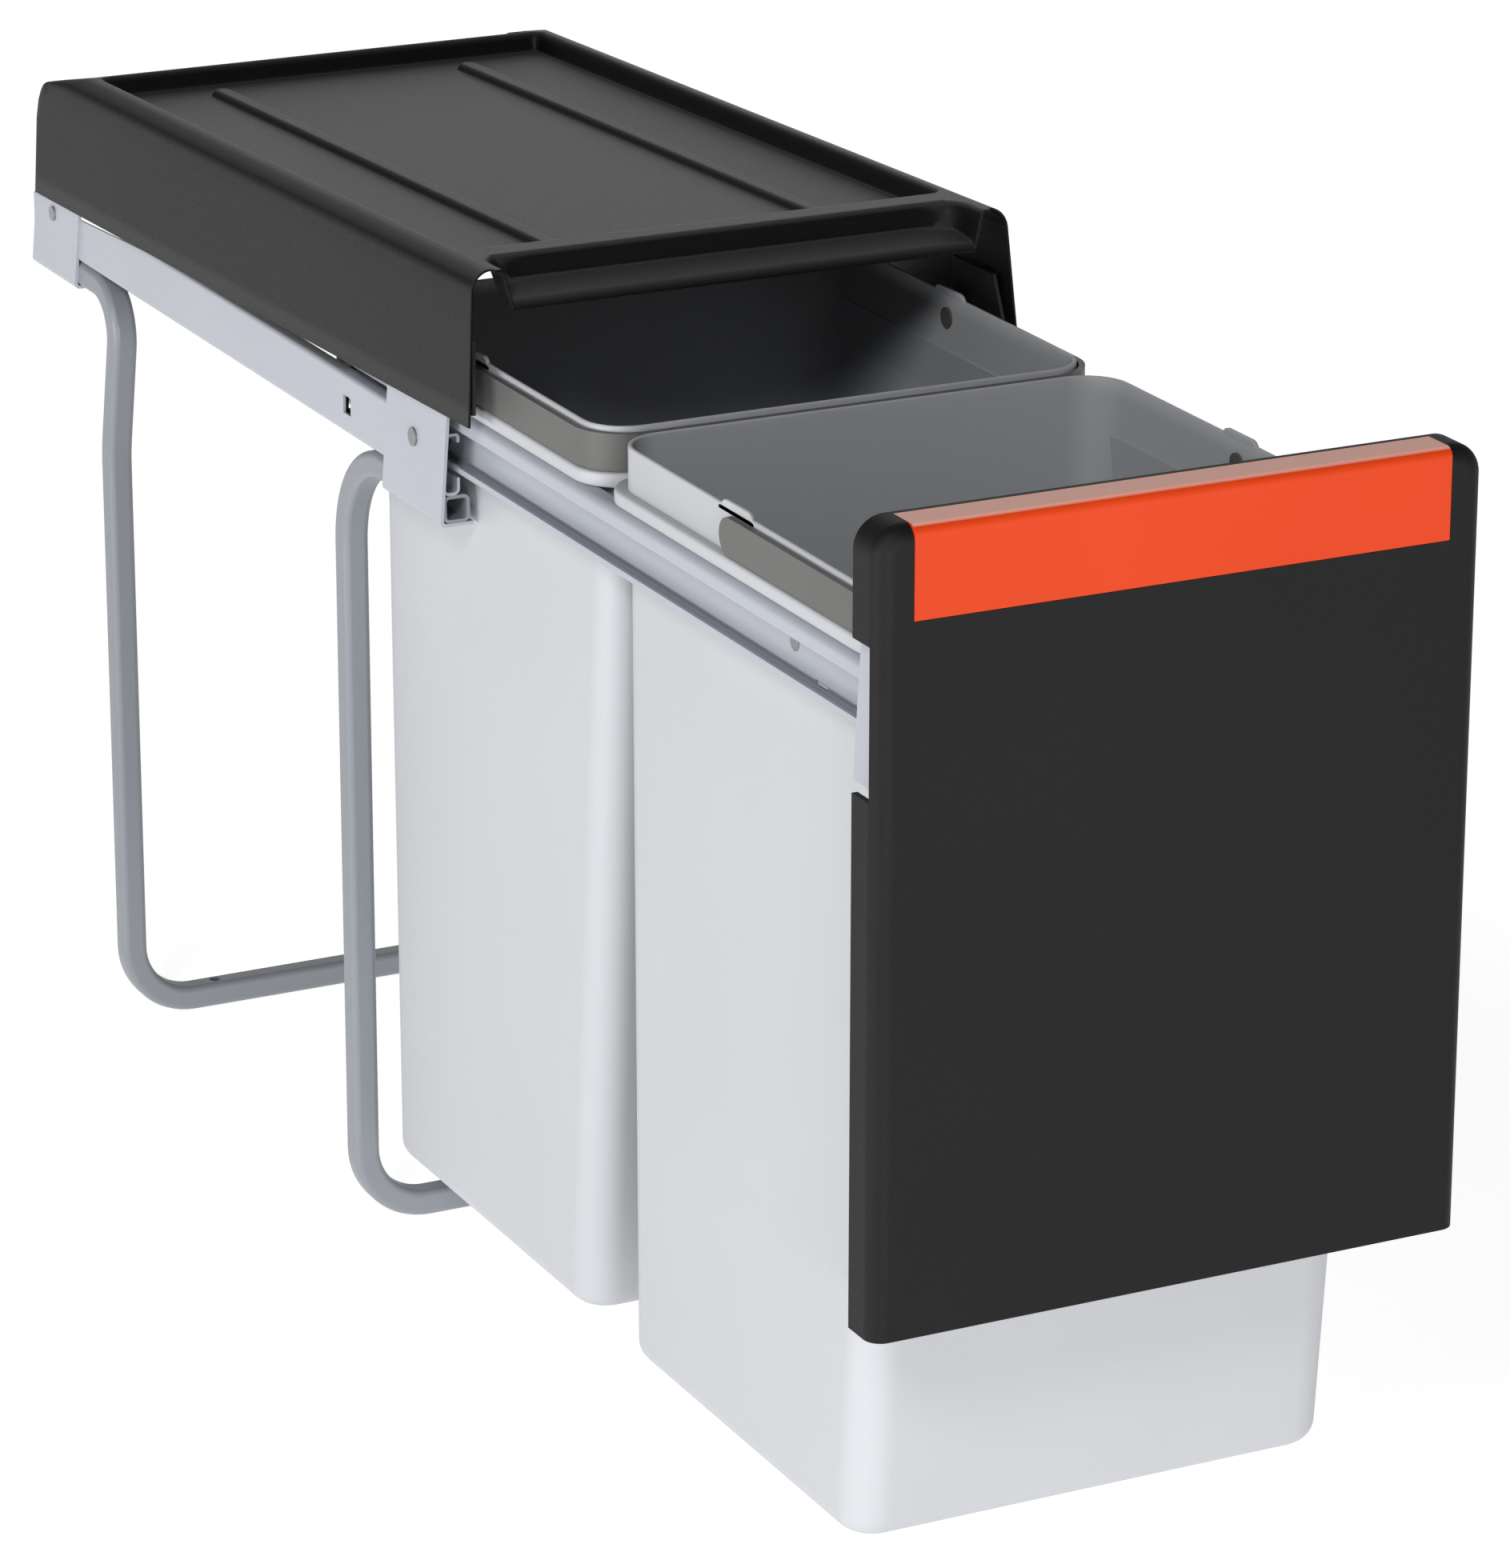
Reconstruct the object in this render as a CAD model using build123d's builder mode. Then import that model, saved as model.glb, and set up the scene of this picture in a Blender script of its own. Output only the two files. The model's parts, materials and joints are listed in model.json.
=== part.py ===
"""Pull-out frame for two waste bins, drawn with the drawer fully pulled out.

X runs to the right seen from the front, Y into the cabinet and Z up. The
origin is the middle of the four floor screws. All sizes are millimetres.
"""

from build123d import *

import os
from math import cos, radians, sin, tan

os.makedirs("parts", exist_ok=True)

# Shared clearances
overrun = 5
seat_gap = 0.3
pin_play = 0.08

# Bent tube hoops
frame_width = 246
frame_height = 369
leg_spread = 282
tube_size = 12
tube_wall = 1.5
tube_corner_r = 3
floor_bend_r = 30
front_bend_r = 45
rear_bend_r = 22
crank_bend_r = 60
crank_height = 284
crank_angle = 11.8
front_run = 113
rear_run = 84
floor_hole_d = 5
floor_hole_spacing = 150

# Rails fixed in the cabinet
rail_gauge = 1.2
rail_height = 26.5
rail_width = 7.6
rail_lower_lip = 7.3
rail_upper_lip = 4
rail_lower_bend_r = 2.2
rail_upper_bend_r = 1.2
rail_slot = 8
rail_slot_setback = 101
rail_slope_start = 163
rail_slope_length = 101
rail_slope_drop = 5.5

# Carriers that slide along the rails
carrier_length = 489
ridge_gap = 1.5
ridge_inset = 5
ridge_width = 8.5
ridge_height = 8.5
ridge_hem = 7
ridge_bend_r = 3
carrier_bend_r = 1.2
carrier_lip_gap = 2.1
carrier_flange = 8
carrier_lip = 3.4
carrier_slot_length = 10
carrier_slot_height = 2.2
carrier_slot_setback = 57
tongue_length = 24
tongue_height = 20
tongue_rise = 5
tongue_lap = 6
slide_travel = 340

# Rollers and their axles
roller_play = 0.2
roller_side_play = 0.5
roller_end_gap = 0.6
roller_edge = 0.5
front_roller_setback = 26.3
axle_d = 5
axle_head_d = 8
axle_head = 1
axle_head_room = 0.3

# Strip that ties the carriers together behind the rear bin
tie_gauge = 1.5
tie_height = 9
tie_tab = 18
tie_bend_r = 3

# Brackets folded from sheet
bracket_gauge = 1.5
bracket_bend_r = 1.5
bracket_lip = 14.25
bracket_lean = 8.5
front_foot = 61
front_tab_reach = 25
front_tab_length = 51
front_tab_rise = 33
rear_foot = 56
rear_overhang = 1
rear_tab_setback = 6.5
rear_tab_length = 50
rear_tab_rise = 34
tab_taper = 7
rail_rivet_setback = 30
rail_rivet_rise = 17.5

# Sheet cover over the rails
cover_gauge = 1
cover_overhang = 36
cover_length = 512
cover_rear_height = 454
cover_tilt = 2
cover_foot_tilt = 1.72
cover_wall = 61
cover_flare = 6.5
cover_fold_r = 8
rim_width = 9
rear_rim_width = 5
front_rim_width = 6
tray_depth = 8.5
tray_corner_r = 10
tray_slope = 25
rear_apron = 14
gutter_length = 9
gutter_depth = 11
gutter_end_r = 8
gutter_inset = 13
gutter_lip = 4
rib_spacing = 124
rib_width = 8
rib_height = 3
rib_setback = 112
cover_screw_rise = 14
cover_screw_setback = 16

# Front panel with its grip strip
panel_overlap = 5
panel_height = 317.5
panel_depth = 19.5
panel_base = 147.5
panel_wall = 2.5
panel_edge_r = 7
panel_top_r = 12
panel_cover_gap = 3.5
panel_rib = 2
panel_row_shares = (0.2, 0.4, 0.6)
panel_column_shares = (-0.3, 0, 0.3)
notch_depth = 13.5
notch_height = 59.5
notch_base = 212.5
boss_d = 10
boss_spacing = 24
boss_rise = 12
boss_inset = 18
boss_hole_d = 2.6
strip_inset = 15
strip_height = 36
strip_depth = 17
strip_gauge = 3
strip_edge_r = 4
strip_gap = 0.2

# Brackets between the panel and the carriers
panel_bracket_gauge = 1.5
panel_bracket_height = 57.5
panel_bracket_width = 26
panel_bracket_inset = 1
panel_bracket_nose = 11.5
panel_bracket_tail = 4.5
panel_bracket_foot_tail = 10.5

# Waste bins
bin_gap = 1.6
bin_panel_gap = 2.8
shoulder_inset = 2.5
shoulder_length = 242
shoulder_height = 6
shoulder_corner_r = 20
collar_side_step = 4.5
collar_end_step = 4.2
collar_height = 17.9
collar_corner_r = 19
body_side_gap = 1.5
body_end_step = 4.5
body_side_draft = 5.5
body_length_draft = 33
body_base_shift = 17.7
body_height = 368.5
body_corner_r = 19
body_base_r = 11
bin_wall = 1.8
ear_width = 25
ear_rise = 2.3
ear_corner_r = 2.2

# Swinging handles of the bins
bail_height = 15.5
bail_gauge = 2.5
bail_side_gap = 1
bail_rest_gap = 0.25
pivot_shift = 6.2
pivot_d = 6
pivot_head_d = 9
pivot_head = 1.2

# Rivets and screws
rivet_d = 4
rivet_head_d = 7
rivet_head = 1
screw_d = 3
screw_head_d = 7
screw_head = 1.6
panel_screw_reach = 9
carrier_rivet_setback = 79
carrier_rivet_rise = 13.3
carrier_rivet_head = 0.3

# Places that follow from the sizes
sides = {"left": -1, "right": 1}
frame_half = frame_width / 2
front_leg_y = -leg_spread / 2
rear_leg_y = leg_spread / 2
run_front = front_leg_y - front_run
run_rear = rear_leg_y + rear_run
rail_top = frame_height + rail_height
ridge_under = rail_top + ridge_gap
ridge_top = ridge_under + ridge_height
ridge_out = frame_half - ridge_inset
web_in = ridge_out - ridge_width
carrier_under = frame_height + rail_lower_lip + carrier_lip_gap
rail_lip_in = frame_half - rail_width
cover_front = run_front - cover_overhang
cover_rear = cover_front + cover_length
cover_foot = cover_rear_height - cover_wall
cover_foot_half = frame_half + bracket_gauge + seat_gap + cover_gauge
tilt_run = cos(radians(cover_tilt))
tilt_rise = sin(radians(cover_tilt))
cover_slant = cover_length / tilt_run
cover_section = Plane(
    origin=(0, cover_rear, cover_foot),
    x_dir=(1, 0, 0),
    z_dir=(0, -tilt_run, tilt_rise),
)
cover_top = Plane(
    origin=cover_section.from_local_coords((0, cover_wall, 0)),
    x_dir=(1, 0, 0),
    z_dir=(0, tilt_rise, tilt_run),
)
panel_width = frame_width + 2 * panel_overlap
strip_width = panel_width - 2 * strip_inset
panel_back = cover_front - panel_cover_gap - slide_travel
panel_front = panel_back - panel_depth
carrier_front = panel_back + panel_bracket_gauge
carrier_rear = carrier_front + carrier_length
shoulder_width = 2 * (ridge_out - shoulder_inset)
collar_width = shoulder_width - 2 * collar_side_step
collar_length = shoulder_length - 2 * collar_end_step
body_top_width = 2 * (web_in - seat_gap - rail_gauge - body_side_gap)
body_top_length = shoulder_length - 2 * body_end_step
bin_front_y = panel_back + bin_panel_gap + shoulder_length / 2
bin_rear_y = bin_front_y + shoulder_length + bin_gap
channel_floor = carrier_under + rail_gauge
front_roller_r = (ridge_under - channel_floor) / 2 - roller_play
front_roller_z = (ridge_under + channel_floor) / 2
front_roller_y = run_front + front_roller_setback
rear_roller_r = rail_height / 2 - rail_gauge - roller_play
rear_roller_z = frame_height + rail_height / 2
rear_roller_y = carrier_rear + roller_end_gap + rear_roller_r
tie_rear = carrier_rear + tongue_length
tie_foot = rear_roller_z + axle_head_d / 2 + seat_gap
tie_middle = tie_foot + tie_height / 2
tie_hole_y = tie_rear - tie_tab / 2
carrier_rivet_y = carrier_front + carrier_rivet_setback
carrier_rivet_z = carrier_under + carrier_rivet_rise
shoulder_top = ridge_top + shoulder_height
rim_top = shoulder_top + collar_height
pivot_z = shoulder_top + bail_rest_gap + bail_height / 2


def across(y):
    """Plane square to the travel at depth y, drawn in X and Z."""
    return Plane.XZ.offset(-y)


def beside(x):
    """Plane square to the width at place x, drawn in Y and Z."""
    return Plane.YZ.offset(x)


def folded_section(points, radii, gauge, side):
    """Section of a folded sheet, drawn about the middle of its thickness."""
    with BuildLine() as centreline:
        FilletPolyline(*[(side * out, up) for out, up in points], radius=radii)
    trace(centreline.line, line_width=gauge)


def keep(part, name):
    """Label a finished piece and write it."""
    part.label = name
    export_step(part, f"parts/{name}.step")


# Tube hoops


def hoop(side_points, radii, foot_y):
    """Square tube bent through one side, across the floor and up the other."""
    tube_out = frame_half - tube_size / 2
    left = [(-tube_out, y, z) for y, z in side_points]
    right = [(tube_out, y, z) for y, z in reversed(side_points)]
    start_y, start_z = side_points[0]
    with BuildPart() as tube:
        with BuildLine():
            FilletPolyline(*left, *right, radius=radii + radii[::-1])
        with BuildSketch(Plane.XZ.offset(-start_y)):
            with Locations((-tube_out, start_z)):
                RectangleRounded(tube_size, tube_size, tube_corner_r)
                bore = tube_size - 2 * tube_wall
                bore_r = tube_corner_r - tube_wall
                RectangleRounded(bore, bore, bore_r, mode=Mode.SUBTRACT)
        sweep()
        with Locations((0, foot_y, tube_size)):
            with GridLocations(floor_hole_spacing, floor_hole_spacing, 2, 1):
                Hole(floor_hole_d / 2, depth=tube_size)
    return tube.part


tube_mid_top = frame_height - tube_size / 2
tube_mid_floor = tube_size / 2
front_side = [
    (run_front, tube_mid_top),
    (front_leg_y, tube_mid_top),
    (front_leg_y, tube_mid_floor),
]
keep(hoop(front_side, [front_bend_r, floor_bend_r], front_leg_y), "front_hoop")

crank_rise = tube_mid_top - crank_height
crank_y = rear_leg_y - crank_rise * tan(radians(crank_angle))
rear_side = [
    (run_rear, tube_mid_top),
    (crank_y, tube_mid_top),
    (rear_leg_y, crank_height),
    (rear_leg_y, tube_mid_floor),
]
rear_radii = [rear_bend_r, crank_bend_r, floor_bend_r]
keep(hoop(rear_side, rear_radii, rear_leg_y), "rear_hoop")

# Rails fixed in the cabinet


def cabinet_rail(side):
    """C section open to the inside, cut down towards the rear."""
    half = rail_gauge / 2
    web = frame_half - half
    lip = rail_lip_in + half
    low = frame_height + half
    high = rail_top - half
    points = [
        (lip, frame_height + rail_lower_lip),
        (lip, low),
        (web, low),
        (web, high),
        (lip, high),
        (lip, rail_top - rail_upper_lip),
    ]
    radii = [rail_lower_bend_r] * 2 + [rail_upper_bend_r] * 2
    slope_y = run_rear - rail_slope_start
    slope_end = slope_y + rail_slope_length
    slope_z = rail_top - rail_slope_drop
    with BuildPart() as rail:
        with BuildSketch(across(run_rear)):
            folded_section(points, radii, rail_gauge, side)
        extrude(amount=run_rear - run_front)
        with BuildSketch(beside(0)):
            with BuildLine():
                Polyline(
                    (slope_y, rail_top),
                    (slope_end, slope_z),
                    (run_rear + overrun, slope_z),
                    (run_rear + overrun, rail_top + overrun),
                    (slope_y, rail_top + overrun),
                    close=True,
                )
            make_face()
        extrude(amount=side * frame_width, mode=Mode.SUBTRACT)
        with BuildSketch(beside(side * (frame_half - rail_width / 2))):
            with Locations((run_front + rail_slot_setback, frame_height + rail_height / 2)):
                Rectangle(rail_slot, rail_slot)
            with Locations((front_roller_y, front_roller_z)):
                Circle(axle_d / 2)
            with Locations((run_rear - rail_rivet_setback, frame_height + rail_rivet_rise)):
                Circle(rivet_d / 2)
        extrude(amount=side * rail_width, mode=Mode.SUBTRACT)
    return rail.part


for name, side in sides.items():
    keep(cabinet_rail(side), f"cabinet_rail_{name}")

# Carriers


def carrier_rail(side):
    """Folded sheet with a ridge for the bins above a channel for the roller."""
    half = rail_gauge / 2
    hem_top = ridge_top - half
    fold = ridge_under + half
    low = carrier_under + half
    web = web_in + half
    hem = web_in - seat_gap - half
    lip = web_in + carrier_flange - half
    points = [
        (hem, ridge_top - ridge_hem),
        (hem, hem_top),
        (ridge_out - half, hem_top),
        (ridge_out - half, fold),
        (web, fold),
        (web, low),
        (lip, low),
        (lip, carrier_under + carrier_lip),
    ]
    radii = [ridge_bend_r] * 2 + [carrier_bend_r] * 4
    slot_y = carrier_front + carrier_slot_setback
    with BuildPart() as rail:
        with BuildSketch(across(carrier_rear)):
            folded_section(points, radii, rail_gauge, side)
        extrude(amount=carrier_length)
        with BuildSketch(beside(side * web_in)):
            with Locations((carrier_rear, rear_roller_z + tongue_rise)):
                Rectangle(
                    tongue_length + tongue_lap,
                    tongue_height,
                    align=(Align.MIN, Align.CENTER),
                )
        extrude(amount=side * rail_gauge)
        with BuildSketch(beside(side * web_in)):
            with Locations((slot_y, low + carrier_slot_height)):
                Rectangle(carrier_slot_length, carrier_slot_height)
            with Locations((rear_roller_y, rear_roller_z)):
                Circle(axle_d / 2)
            with Locations((tie_hole_y, tie_middle), (carrier_rivet_y, carrier_rivet_z)):
                Circle(rivet_d / 2)
        extrude(amount=side * rail_gauge, mode=Mode.SUBTRACT)
    return rail.part


for name, side in sides.items():
    keep(carrier_rail(side), f"carrier_rail_{name}")


# Rollers and axles


def axle_plane(side, y, z):
    """Plane square to an axle, facing away from the middle."""
    return Plane(origin=(0, y, z), x_dir=(0, side, 0), z_dir=(side, 0, 0))


def roller(plane, open_face, far_face, radius):
    """Roller with a recess for the axle's head in its open face."""
    way = 1 if far_face > open_face else -1
    with BuildPart() as wheel:
        with BuildSketch(plane.offset(open_face)):
            Circle(radius)
        extrude(amount=far_face - open_face)
        chamfer(wheel.edges().filter_by(GeomType.CIRCLE), roller_edge)
        with BuildSketch(plane.offset(open_face)):
            Circle(axle_d / 2 + pin_play)
        extrude(amount=far_face - open_face, mode=Mode.SUBTRACT)
        with BuildSketch(plane.offset(open_face)):
            Circle(axle_head_d / 2 + axle_head_room)
        extrude(amount=way * (axle_head + axle_head_room), mode=Mode.SUBTRACT)
    return wheel.part


def axle(plane, roller_face, riveted_face):
    """Axle with a head in the roller and a riveted head on the sheet."""
    way = 1 if riveted_face > roller_face else -1
    with BuildPart() as pin:
        with BuildSketch(plane.offset(roller_face)):
            Circle(axle_d / 2)
        extrude(amount=riveted_face - roller_face)
        with BuildSketch(plane.offset(roller_face), plane.offset(riveted_face)):
            Circle(axle_head_d / 2)
        extrude(amount=way * axle_head)
    return pin.part


front_roller_in = web_in + rail_gauge + roller_side_play
front_roller_out = rail_lip_in - roller_side_play
rear_roller_in = rail_lip_in + rail_gauge + roller_side_play
rear_roller_out = frame_half - rail_gauge - roller_side_play
bracket_out = frame_half + bracket_gauge
front_axles = Compound(
    children=[
        axle(axle_plane(side, front_roller_y, front_roller_z), front_roller_in, bracket_out)
        for side in sides.values()
    ]
)
rear_axles = Compound(
    children=[
        axle(axle_plane(side, rear_roller_y, rear_roller_z), rear_roller_out, web_in)
        for side in sides.values()
    ]
)
keep(front_axles, "front_roller_axles")
keep(rear_axles, "rear_roller_axles")
for name, side in sides.items():
    front_plane = axle_plane(side, front_roller_y, front_roller_z)
    rear_plane = axle_plane(side, rear_roller_y, rear_roller_z)
    front = roller(front_plane, front_roller_in, front_roller_out, front_roller_r)
    rear = roller(rear_plane, rear_roller_out, rear_roller_in, rear_roller_r)
    keep(front, f"front_roller_{name}")
    keep(rear, f"rear_roller_{name}")

# Strip that ties the carriers together


def level(y, z):
    """Level plane with its middle at depth y and height z."""
    return Plane(origin=(0, y, z))


tie_half = web_in - tie_gauge / 2
with BuildPart() as tie:
    with BuildSketch(level(tie_rear, tie_foot)):
        with BuildLine():
            FilletPolyline(
                (-tie_half, -tie_tab),
                (-tie_half, -tie_gauge / 2),
                (tie_half, -tie_gauge / 2),
                (tie_half, -tie_tab),
                radius=tie_bend_r,
            )
        trace(line_width=tie_gauge)
    extrude(amount=tie_height)
    with BuildSketch(beside(0)):
        with Locations((tie_hole_y, tie_middle)):
            Circle(rivet_d / 2)
    extrude(amount=web_in, both=True, mode=Mode.SUBTRACT)
keep(tie.part, "rear_tie")

# Brackets that hold the rails and the cover


def cover_reference(y):
    """Height of the line that the cover's walls are drawn from, at depth y."""
    return cover_foot + (cover_rear - y) * tan(radians(cover_tilt))


def cover_screw_plane(side):
    """Plane on the cover's slanted wall where its rear screw sits."""
    lean = radians(cover_flare)
    out = cover_foot_half - cover_screw_rise * tan(lean)
    spot = cover_section.from_local_coords((side * out, cover_screw_rise, cover_screw_setback))
    return Plane(
        origin=spot,
        x_dir=(0, -tilt_run, tilt_rise),
        z_dir=(side * cos(lean), sin(lean) * tilt_rise, sin(lean) * tilt_run),
    )


def cover_screw_hole(side):
    """Cut for the cover's screw, through the wall and what is behind it."""
    with BuildSketch(cover_screw_plane(side).offset(overrun)) as hole:
        Circle(screw_d / 2)
    extrude(hole.sketch, amount=-2 * overrun, mode=Mode.SUBTRACT)


def bracket(side, foot_front, foot_length, tab_front, tab_length, tab_rise, hole):
    """Folded plate under the tube, past the rail and up behind the cover."""
    half = bracket_gauge / 2
    low = frame_height - tube_size - half
    plate = frame_half + half
    tab_rear = tab_front + tab_length
    fold = cover_reference(tab_rear)
    top = fold + tab_rise
    section = [
        (plate - bracket_lip, low),
        (plate, low),
        (plate, fold),
        (plate - tab_rise * tan(radians(cover_flare)), top),
    ]
    outline = [
        (foot_front, low - half),
        (foot_front + foot_length, low - half),
        (foot_front + foot_length - bracket_lean, fold),
        (tab_rear, fold + tab_taper / 2),
        (tab_rear - tab_taper, top),
        (tab_front + tab_taper, top),
        (tab_front, fold + tab_taper / 2),
        (foot_front - bracket_lean, fold),
    ]
    hole_y, hole_z, hole_r = hole
    with BuildPart() as plate_part:
        with BuildSketch(across(foot_front + foot_length)):
            folded_section(section, bracket_bend_r + half, bracket_gauge, side)
        extrude(amount=foot_front + foot_length - tab_front + bracket_lean)
        with BuildSketch(beside(0)):
            with BuildLine():
                Polyline(*outline, close=True)
            make_face()
            with Locations((hole_y, hole_z)):
                Circle(hole_r, mode=Mode.SUBTRACT)
        extrude(amount=side * frame_width, mode=Mode.INTERSECT)
        cover_screw_hole(side)
    return plate_part.part


front_tab = run_front - bracket_lean - front_tab_reach
rear_foot_front = run_rear + rear_overhang - rear_foot
rear_tab = rear_foot_front - bracket_lean + rear_tab_setback
rail_rivet_y = run_rear - rail_rivet_setback
rail_rivet_z = frame_height + rail_rivet_rise
front_hole = (front_roller_y, front_roller_z, axle_d / 2)
rear_hole = (rail_rivet_y, rail_rivet_z, rivet_d / 2)
for name, side in sides.items():
    front = bracket(side, run_front, front_foot, front_tab, front_tab_length, front_tab_rise, front_hole)
    rear = bracket(side, rear_foot_front, rear_foot, rear_tab, rear_tab_length, rear_tab_rise, rear_hole)
    keep(front, f"front_bracket_{name}")
    keep(rear, f"rear_bracket_{name}")

# Cover

rib_rear = rear_rim_width + rib_setback


def cover_block(inset):
    """Solid shape of the cover, or of the space inside its sheet."""
    flare = tan(radians(cover_flare))
    base = -cover_length * tan(radians(cover_tilt - cover_foot_tilt)) - overrun
    wall_inset = inset / cos(radians(cover_flare))
    high = cover_wall - inset
    base_half = cover_foot_half - base * flare - wall_inset
    high_half = cover_foot_half - high * flare - wall_inset
    rim_half = cover_foot_half - cover_wall * flare - rim_width
    slope_inset = inset / cos(radians(tray_slope))
    slope_run = tray_depth * tan(radians(tray_slope))
    tray_length = cover_slant - rear_rim_width - front_rim_width - gutter_length
    tray_width = 2 * rim_half
    fold_r = cover_fold_r - inset
    front_end = cover_slant + inset
    with BuildPart() as block:
        with BuildSketch(cover_section.offset(inset)):
            with BuildLine():
                FilletPolyline(
                    (-base_half, base),
                    (-high_half, high),
                    (high_half, high),
                    (base_half, base),
                    radius=[fold_r, fold_r],
                )
                Line((-base_half, base), (base_half, base))
            make_face()
        extrude(amount=front_end - inset)
        middle = (0, -rear_rim_width - tray_length / 2)
        with BuildSketch(cover_top):
            with Locations(middle):
                RectangleRounded(
                    tray_width + 2 * slope_inset,
                    tray_length + 2 * slope_inset,
                    tray_corner_r + slope_inset,
                )
        with BuildSketch(cover_top.offset(-tray_depth - inset)):
            with Locations(middle):
                RectangleRounded(
                    tray_width + 2 * slope_inset - 2 * slope_run,
                    tray_length + 2 * slope_inset - 2 * slope_run,
                    tray_corner_r + slope_inset - slope_run,
                )
        loft(ruled=True, mode=Mode.SUBTRACT)
        rib_length = tray_length - rib_setback
        with BuildSketch(cover_top.offset(-tray_depth - inset)):
            with Locations((0, -rib_rear - rib_length / 2)):
                with GridLocations(rib_spacing, 0, 2, 1):
                    SlotOverall(rib_length, rib_width - 2 * inset, rotation=90)
        extrude(amount=rib_height)
        gutter_width = 2 * (rim_half + rim_width - gutter_inset + inset)
        with BuildSketch(cover_top.offset(-gutter_depth - inset)):
            with Locations((0, -cover_slant)):
                RectangleRounded(
                    gutter_width,
                    2 * (gutter_length + inset),
                    gutter_end_r + inset,
                )
        extrude(amount=gutter_depth + overrun, mode=Mode.SUBTRACT)
    return block.part


cover_outside = cover_block(0)
cover_inside = cover_block(cover_gauge)
with BuildPart() as cover:
    add(cover_outside)
    add(cover_inside, mode=Mode.SUBTRACT)
    with BuildSketch(cover_section.offset(-overrun)):
        with Locations((0, cover_wall - rear_apron)):
            Rectangle(frame_width, frame_width, align=(Align.CENTER, Align.MAX))
    extrude(amount=overrun + 2 * cover_gauge, mode=Mode.SUBTRACT)
    with BuildSketch(beside(0)):
        with BuildLine():
            foot_rise = (cover_length + overrun) * tan(radians(cover_foot_tilt))
            Polyline(
                (cover_rear + 2 * overrun, cover_foot),
                (cover_rear, cover_foot),
                (cover_front - overrun, cover_foot + foot_rise),
                (cover_front - overrun, cover_foot - cover_wall),
                (cover_rear + 2 * overrun, cover_foot - cover_wall),
                close=True,
            )
        make_face()
    extrude(amount=frame_width, both=True, mode=Mode.SUBTRACT)
    with BuildSketch(cover_section.offset(cover_slant - cover_gauge)):
        with Locations((0, cover_wall - gutter_depth)):
            lip_half = frame_half - gutter_inset - gutter_end_r
            Rectangle(2 * lip_half, gutter_lip, align=(Align.CENTER, Align.MAX))
    extrude(amount=cover_gauge)
    for side in sides.values():
        cover_screw_hole(side)
keep(cover.part, "cover")

# Front panel and grip strip

panel_half = panel_width / 2
panel_top = panel_base + panel_height
panel_middle = panel_base + panel_height / 2
strip_foot = panel_top - strip_height
notch_foot = panel_base + notch_base
notch_middle = notch_foot + notch_height / 2
bracket_foot = notch_middle - panel_bracket_height / 2
boss_x = frame_half - panel_bracket_inset - boss_inset
screw_feet = bracket_foot + boss_rise
screw_middle = screw_feet + boss_spacing / 2


def strip_section(gap):
    """Outline of the strip's front and top, with room around it for a seat."""
    low = strip_foot - gap
    rear = panel_front + strip_depth + gap
    with BuildLine() as outline:
        Polyline(
            (panel_front, low),
            (panel_front + strip_gauge, low),
            (panel_front + strip_gauge, panel_top - strip_gauge),
            (rear, panel_top - strip_gauge),
            (rear, panel_top),
            (panel_front, panel_top),
            close=True,
        )
    make_face(outline.line)


with BuildPart() as strip:
    with BuildSketch(beside(-strip_width / 2)) as strip_sketch:
        strip_section(0)
        front_edge = strip_sketch.vertices().sort_by(Axis.X)[:2].sort_by(Axis.Y)[-1]
        fillet(front_edge, strip_edge_r)
    extrude(amount=strip_width)
keep(strip.part, "grip_strip")

with BuildPart() as panel:
    with BuildSketch(across(panel_back)):
        with Locations((0, panel_middle)):
            Rectangle(panel_width, panel_height)
    extrude(amount=panel_depth)
    fillet(panel.edges().filter_by(Axis.Y).group_by(Axis.Z)[-1], panel_top_r)
    face_edges = panel.faces().sort_by(Axis.Y)[0].edges()
    fillet(face_edges.sort_by(Axis.Z)[1:], panel_edge_r)
    hollow_foot = panel_base + panel_wall
    hollow_top = strip_foot - panel_wall
    with BuildSketch(across(panel_back)):
        with Locations((0, hollow_foot)):
            Rectangle(
                panel_width - 2 * panel_wall,
                hollow_top - hollow_foot,
                align=(Align.CENTER, Align.MIN),
            )
    extrude(amount=panel_depth - panel_wall, mode=Mode.SUBTRACT)
    with BuildSketch(across(panel_back)):
        with Locations((0, hollow_top)):
            Rectangle(
                panel_width - 2 * panel_top_r,
                strip_height - strip_gauge,
                align=(Align.CENTER, Align.MIN),
            )
    extrude(amount=panel_depth - panel_wall - strip_gauge, mode=Mode.SUBTRACT)
    with BuildSketch(across(panel_back)):
        for share in panel_column_shares:
            with Locations((share * panel_width, hollow_foot)):
                Rectangle(panel_rib, hollow_top - hollow_foot, align=(Align.CENTER, Align.MIN))
        for share in panel_row_shares:
            with Locations((0, panel_base + share * panel_height)):
                Rectangle(panel_width - 2 * panel_wall, panel_rib)
        with Locations((0, screw_middle)):
            with GridLocations(2 * boss_x, boss_spacing, 2, 2):
                Circle(boss_d / 2)
    extrude(amount=panel_depth - panel_wall)
    with BuildSketch(across(panel_back)):
        with Locations((0, screw_middle)):
            with GridLocations(2 * boss_x, boss_spacing, 2, 2):
                Circle(boss_hole_d / 2)
    extrude(amount=panel_depth - 2 * panel_wall, mode=Mode.SUBTRACT)
    with BuildSketch(across(panel_back)):
        with Locations((0, notch_middle)):
            with GridLocations(panel_width, 0, 2, 1):
                Rectangle(2 * panel_wall, notch_height)
    extrude(amount=notch_depth, mode=Mode.SUBTRACT)
    with BuildSketch(beside(-strip_width / 2 - strip_gap)):
        strip_section(strip_gap)
    extrude(amount=strip_width + 2 * strip_gap, mode=Mode.SUBTRACT)
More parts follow.
